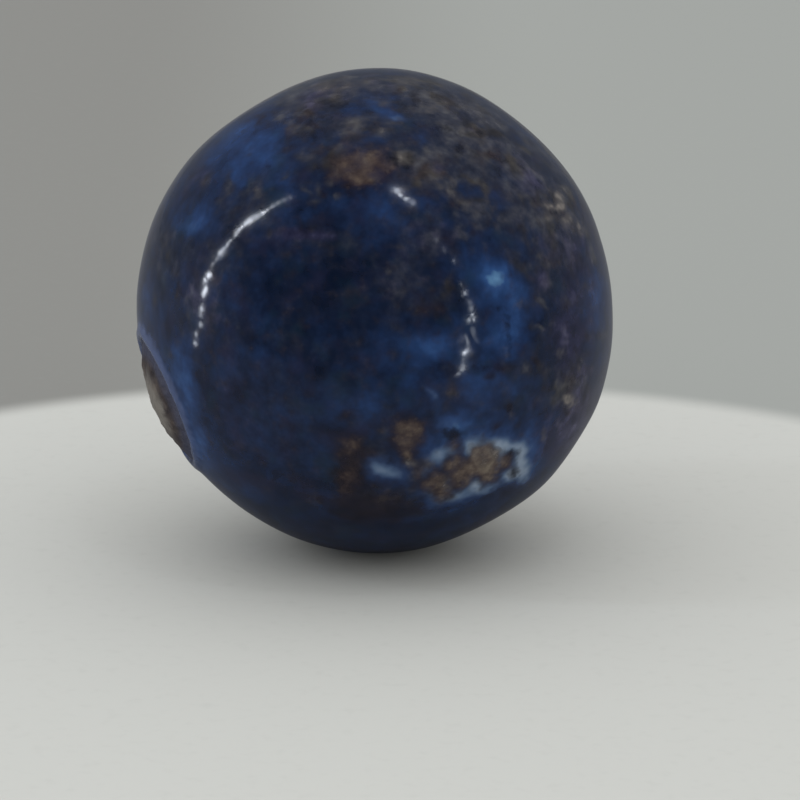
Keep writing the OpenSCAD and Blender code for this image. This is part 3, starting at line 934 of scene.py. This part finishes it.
strips = {
    "distance": 300,               # mm from the ball to a lamp
    "radius": 4,                   # mm, of a lamp
    "glow": 60,                    # brightness of a full lamp, where white paper is 1
    "tint": (0.84, 0.90, 1.0),
    "clearance": 1.0,              # mm kept above the table
    "probe": 0.03,                 # how far round the ball its slope is measured, 1 being its radius
    # where each lamp shows in the glaze, and how bright it is there
    "left": [
        (-3.4, 4.6, 0.12), (-3.64, 4.48, 0.18), (-3.88, 4.36, 0.23), (-4.12, 4.24, 0.34),
        (-4.36, 4.08, 0.46), (-4.52, 3.96, 0.7), (-4.76, 3.84, 0.6), (-5.0, 3.68, 0.9),
        (-5.16, 3.56, 0.7), (-5.34, 3.42, 0.6), (-5.48, 3.28, 0.45), (-5.6, 3.14, 0.32),
        (-5.8, 2.88, 0.3), (-5.92, 2.72, 0.5), (-6.08, 2.52, 0.65), (-6.2, 2.36, 0.7),
        (-6.36, 2.12, 0.22), (-6.52, 1.9, 0.25), (-6.68, 1.48, 1.0), (-6.84, 1.24, 0.55),
        (-6.84, 0.88, 0.66), (-6.9, 0.7, 0.45), (-6.96, 0.12, 0.58), (-7.0, -0.1, 0.25),
        (-7.02, -0.52, 0.4), (-7.2, -0.92, 0.26), (-7.24, -1.26, 0.36),
    ],
    "right": [
        (0.88, 4.88, 0.7), (1.04, 4.72, 0.95), (1.28, 4.52, 0.62), (1.52, 4.36, 0.28),
        (2.48, 2.88, 0.05), (2.8, 2.48, 0.05), (3.2, 2.04, 0.1), (3.48, 1.08, 0.08),
        (3.64, 0.72, 0.38), (3.8, 0.36, 0.12), (3.86, 0.14, 0.22), (3.93, -0.12, 0.5),
        (3.76, -0.36, 0.34), (4.02, -0.34, 0.34), (3.96, -0.8, 0.08), (3.7, -1.24, 0.14),
        (3.64, -1.68, 1.0), (3.76, -1.58, 0.4), (3.6, -2.0, 0.18), (3.54, -2.26, 0.38),
        (3.36, -2.48, 0.22),
    ],
}


def glossAt(across, up):  # the point of the surface seen at a place, and the way out of it there
    radius = ball["waist"]
    for _ in range(3):
        direction = spotOnBall(across, up, radius)
        direction = direction / np.linalg.norm(direction)
        radius = shapeBall(direction[None])[0][0]
    around = direction + strips["probe"] * np.array([viewRight, viewUp, -viewRight, -viewUp])
    around = around / np.linalg.norm(around, axis=1)[:, None]
    around = around * shapeBall(around)[0][:, None]
    normal = np.cross(around[0] - around[2], around[1] - around[3])
    return direction * radius, normal / np.linalg.norm(normal)


def hangLamps(side):
    for number, (across, up, share) in enumerate(strips[side]):
        point, normal = glossAt(across, up)
        toEye = (eye - point) / np.linalg.norm(eye - point)
        away = 2 * (normal @ toEye) * normal - toEye
        distance = strips["distance"]
        room = point[2] - cadLow[2] / mm - strips["clearance"]
        low = room + away[2] * distance < 0
        if low:  # the table is in the way, so the lamp hangs nearer, and is smaller
            distance = -room / away[2]
        radius = strips["radius"] * mm * distance / strips["distance"]
        lamp = bpy.data.lights.new(f"{side}Lamp{number}", "POINT")
        lamp.shadow_soft_size = radius
        lamp.energy = strips["glow"] * share * 4 * (math.pi * radius) ** 2
        lamp.color = strips["tint"]
        holder = addObject(lamp.name, lamp)
        holder.location = Vector(point + away * distance) * mm
        holder.visible_camera = False
        holder.visible_diffuse = not low


for side in ("left", "right"):
    hangLamps(side)

room = {
    "overhead": 1.1,               # plain light from above
    "level": 0.75,                 # and from the sides
    "behind": "#9d9f9c",           # what shows past the edge of the ground
    "wallInGloss": "#65686e",      # what the gloss shows of the walls, of overhead, and of the camera's side
    "highInGloss": "#626266",
    "darkInGloss": "#2c2c30",
    # heights from -1 to 1 over which the plain light and the gloss's walls change, and how far towards
    # the camera its dark side starts and is full
    "lightHeights": (-0.2, 1.0),
    "wallHeights": (0.1, 0.6),
    "cameraSide": (-0.1, 0.7),
}


def makeRoom():
    world = bpy.data.worlds.new("room")
    bpy.context.scene.world = world
    world.use_nodes = True
    tree = world.node_tree
    tree.nodes.clear()
    direction = addNode(tree, "ShaderNodeTexCoord").outputs["Generated"]
    height = addNode(tree, "ShaderNodeSeparateXYZ", {0: direction}).outputs["Z"]
    plain = remap(tree, height, *room["lightHeights"], room["level"], room["overhead"])
    facing = addNode(tree, "ShaderNodeVectorMath", {0: direction, 1: viewBack}, operation="DOT_PRODUCT")
    high = remap(tree, height, *room["wallHeights"])
    shown = mixColour(tree, high, rgb(room["wallInGloss"]), rgb(room["highInGloss"]))
    dark = remap(tree, facing.outputs["Value"], *room["cameraSide"])
    shown = mixColour(tree, dark, shown, rgb(room["darkInGloss"]))
    path = addNode(tree, "ShaderNodeLightPath").outputs
    clear = calculate(tree, "MAXIMUM", path["Is Camera Ray"], path["Is Transmission Ray"])
    colour = mixColour(tree, path["Is Glossy Ray"], plain, shown)
    colour = mixColour(tree, clear, colour, rgb(room["behind"]))
    background = addNode(tree, "ShaderNodeBackground", {"Color": colour, "Strength": 1.0})
    ending = addNode(tree, "ShaderNodeOutputWorld")
    put(ending.inputs["Surface"], background.outputs[0])


makeRoom()
print("lamps hung")

# ---- camera ----

camera = bpy.data.cameras.new("camera")
camera.sensor_width = view["sensor"]
camera.lens = view["sensor"] * view["distance"] / view["frameWidth"]
camera.clip_start, camera.clip_end = view["clip"]
cameraHolder = addObject("camera", camera)
aim = view["aim"][0] * viewRight + view["aim"][1] * viewUp
cameraHolder.location = Vector(eye) * mm
cameraHolder.rotation_mode = "QUATERNION"
cameraHolder.rotation_quaternion = Vector(aim - eye).to_track_quat("-Z", "Y")
bpy.context.scene.camera = cameraHolder
bpy.context.scene.view_settings.view_transform = "Standard"
print("camera set")
